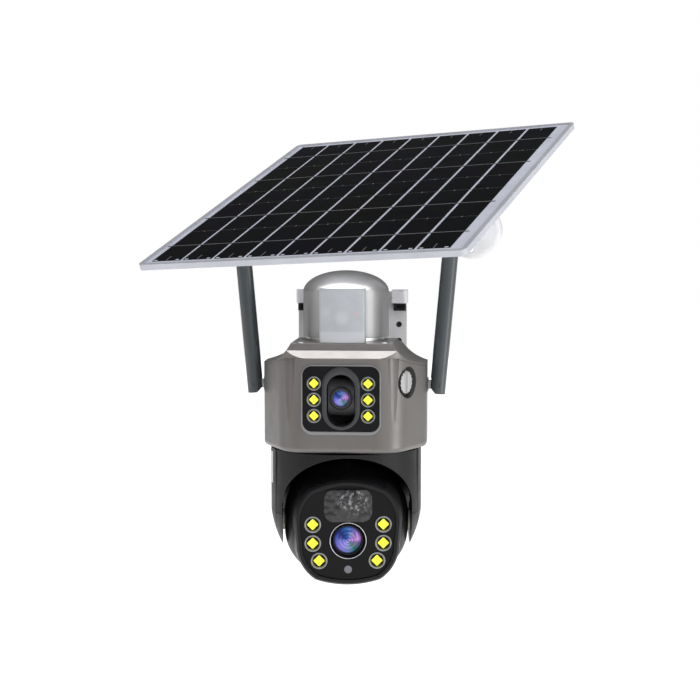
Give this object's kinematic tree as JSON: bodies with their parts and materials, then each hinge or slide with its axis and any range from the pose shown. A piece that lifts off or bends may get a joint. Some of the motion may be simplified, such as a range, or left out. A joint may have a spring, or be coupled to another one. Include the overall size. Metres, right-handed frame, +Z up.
{
  "type": "security camera",
  "caption": "Wall-mounted pan and tilt security camera with a fixed second lens, two folding antennas and a solar panel on its own hinged bracket.",
  "frame": {"origin": "centre of the wall plate's back face, on the wall", "axes": "+Z up, +Y into the wall, the camera looks along -Y, +X to the right seen from the front"},
  "size_m": [0.2895, 0.3229, 0.346],
  "materials": {
    "grey_metallic": "satin metallic paint on moulded plastic and die casting",
    "white_plate": "white satin powder coat",
    "black_satin": "fine textured black",
    "black_gloss": "polished black",
    "dark_antenna": "smooth dark slate",
    "milky": "translucent milky polyethylene",
    "bright_metal": "bright plated",
    "steel": "plain steel",
    "brass_plated": "turned",
    "lens_glass": "coated blue and violet",
    "cell_silicon": "dark silicon under film",
    "white_film": "white backing film",
    "circuit": "green board with parts",
    "battery_wrap": "shrink wrap",
    "gear_nylon": "natural nylon",
    "rubber_black": "soft black",
    "label_white": "blank label"
  },
  "bodies": {
    "root": {"wall_plate": "white_plate", "hook_blocks": "black_satin", "arm_housing": "grey_metallic", "arm_base_ring": "bright_metal", "motion_window": "milky", "motion_sensor": "steel", "top_cover": "grey_metallic", "cover_screws": "bright_metal", "body_seal": "rubber_black", "shoulder_housing": "grey_metallic", "charge_inlet": "rubber_black", "window_bezel": "bright_metal", "front_window": "black_gloss", "upper_lamp_cups": "bright_metal", "lens_shroud": "black_satin", "main_board": "circuit", "battery_cells": "battery_wrap", "battery_holder": "black_satin", "speaker": "steel", "pan_motor": "steel", "pan_bearing": "gear_nylon", "panel_flange": "white_plate", "panel_arm": "white_plate", "pad_bolt": "steel"},
    "pan_drive": {"pan_pinion": "gear_nylon"},
    "upper_lens": {"upper_lens_carriage": "black_satin", "upper_lens_barrel": "black_satin", "upper_lens_glass": "lens_glass"},
    "plug": {"service_plug": "bright_metal"},
    "antenna_elbow_right": {"antenna_knuckle_right": "black_satin"},
    "antenna_elbow_left": {"antenna_knuckle_left": "black_satin"},
    "antenna_right": {"antenna_mast_right": "dark_antenna", "antenna_pin_right": "steel"},
    "antenna_left": {"antenna_mast_left": "dark_antenna", "antenna_pin_left": "steel"},
    "yoke": {"yoke_shell": "black_satin", "yoke_covers": "black_satin", "rating_label": "label_white", "pan_hub": "gear_nylon", "tilt_pins": "gear_nylon"},
    "head": {"head_front_shell": "black_satin", "head_rear_shell": "black_satin", "face_plate": "black_gloss", "head_motion_lens": "black_gloss", "head_lamp_cups": "bright_metal", "head_lens_ring": "bright_metal", "head_lens_barrel": "black_satin", "head_lens_glass": "lens_glass", "light_sensor": "lens_glass", "camera_board": "circuit", "tilt_motor": "steel", "tilt_bushes": "brass_plated"},
    "tilt_drive": {"tilt_pinion": "gear_nylon"},
    "panel_swivel": {"swivel_eye": "white_plate", "hinge_bolt": "steel"},
    "solar_panel": {"panel_bracket": "white_plate", "panel_junction_box": "black_satin", "panel_frame": "white_plate", "panel_laminate": "white_film", "panel_cells": "cell_silicon"}
  },
  "joints": [
    {"name": "pan", "type": "hinge", "parent": "root", "child": "yoke", "pos_m": [0, -0.072, -0.09], "axis": [0, 0, 1], "range_deg": [-175, 175]},
    {"name": "tilt", "type": "hinge", "parent": "yoke", "child": "head", "pos_m": [0, -0.072, -0.134], "axis": [0.9945, 0.1045, 0], "range_deg": [-10, 90]},
    {"name": "pan_pinion_turn", "type": "hinge", "parent": "root", "child": "pan_drive", "pos_m": [-0.02925, -0.072, -0.062], "axis": [0, 0, 1], "range_deg": [-880, 880]},
    {"name": "tilt_pinion_turn", "type": "hinge", "parent": "head", "child": "tilt_drive", "pos_m": [-0.03694, -0.06299, -0.12246], "axis": [0.9945, 0.1045, 0], "range_deg": [-130, 330]},
    {"name": "upper_lens_tilt", "type": "hinge", "parent": "root", "child": "upper_lens", "pos_m": [0, -0.107, -0.0352], "axis": [1, 0, 0], "range_deg": [-15, 15]},
    {"name": "plug_turn", "type": "hinge", "parent": "root", "child": "plug", "pos_m": [0.04611, -0.10609, -0.0245], "axis": [0.8874, -0.461, 0], "range_deg": [-90, 90]},
    {"name": "antenna_swivel_right", "type": "hinge", "parent": "root", "child": "antenna_elbow_right", "pos_m": [0.062, -0.072, -0.0295], "axis": [1, 0, 0], "range_deg": [-8, 90]},
    {"name": "antenna_swivel_left", "type": "hinge", "parent": "root", "child": "antenna_elbow_left", "pos_m": [-0.062, -0.072, -0.0295], "axis": [1, 0, 0], "range_deg": [-8, 90]},
    {"name": "antenna_fold_right", "type": "hinge", "parent": "antenna_elbow_right", "child": "antenna_right", "pos_m": [0.0701, -0.072, -0.0295], "axis": [0, 1, 0], "range_deg": [-5, 85]},
    {"name": "antenna_fold_left", "type": "hinge", "parent": "antenna_elbow_left", "child": "antenna_left", "pos_m": [-0.0701, -0.072, -0.0295], "axis": [0, 1, 0], "range_deg": [-85, 5]},
    {"name": "panel_swing", "type": "hinge", "parent": "root", "child": "panel_swivel", "pos_m": [0.02635, -0.16574, 0.0966], "axis": [-0.0458, 0.0174, 0.9988], "range_deg": [-10, 25]},
    {"name": "panel_tilt", "type": "hinge", "parent": "panel_swivel", "child": "solar_panel", "pos_m": [0.02635, -0.16574, 0.0966], "axis": [0.934, -0.354, 0.049], "range_deg": [-8, 25]}
  ],
  "couplings": [
    {"joint": "pan_pinion_turn", "follows": "pan", "ratio": -5},
    {"joint": "tilt_pinion_turn", "follows": "tilt", "ratio": 2.5}
  ]
}
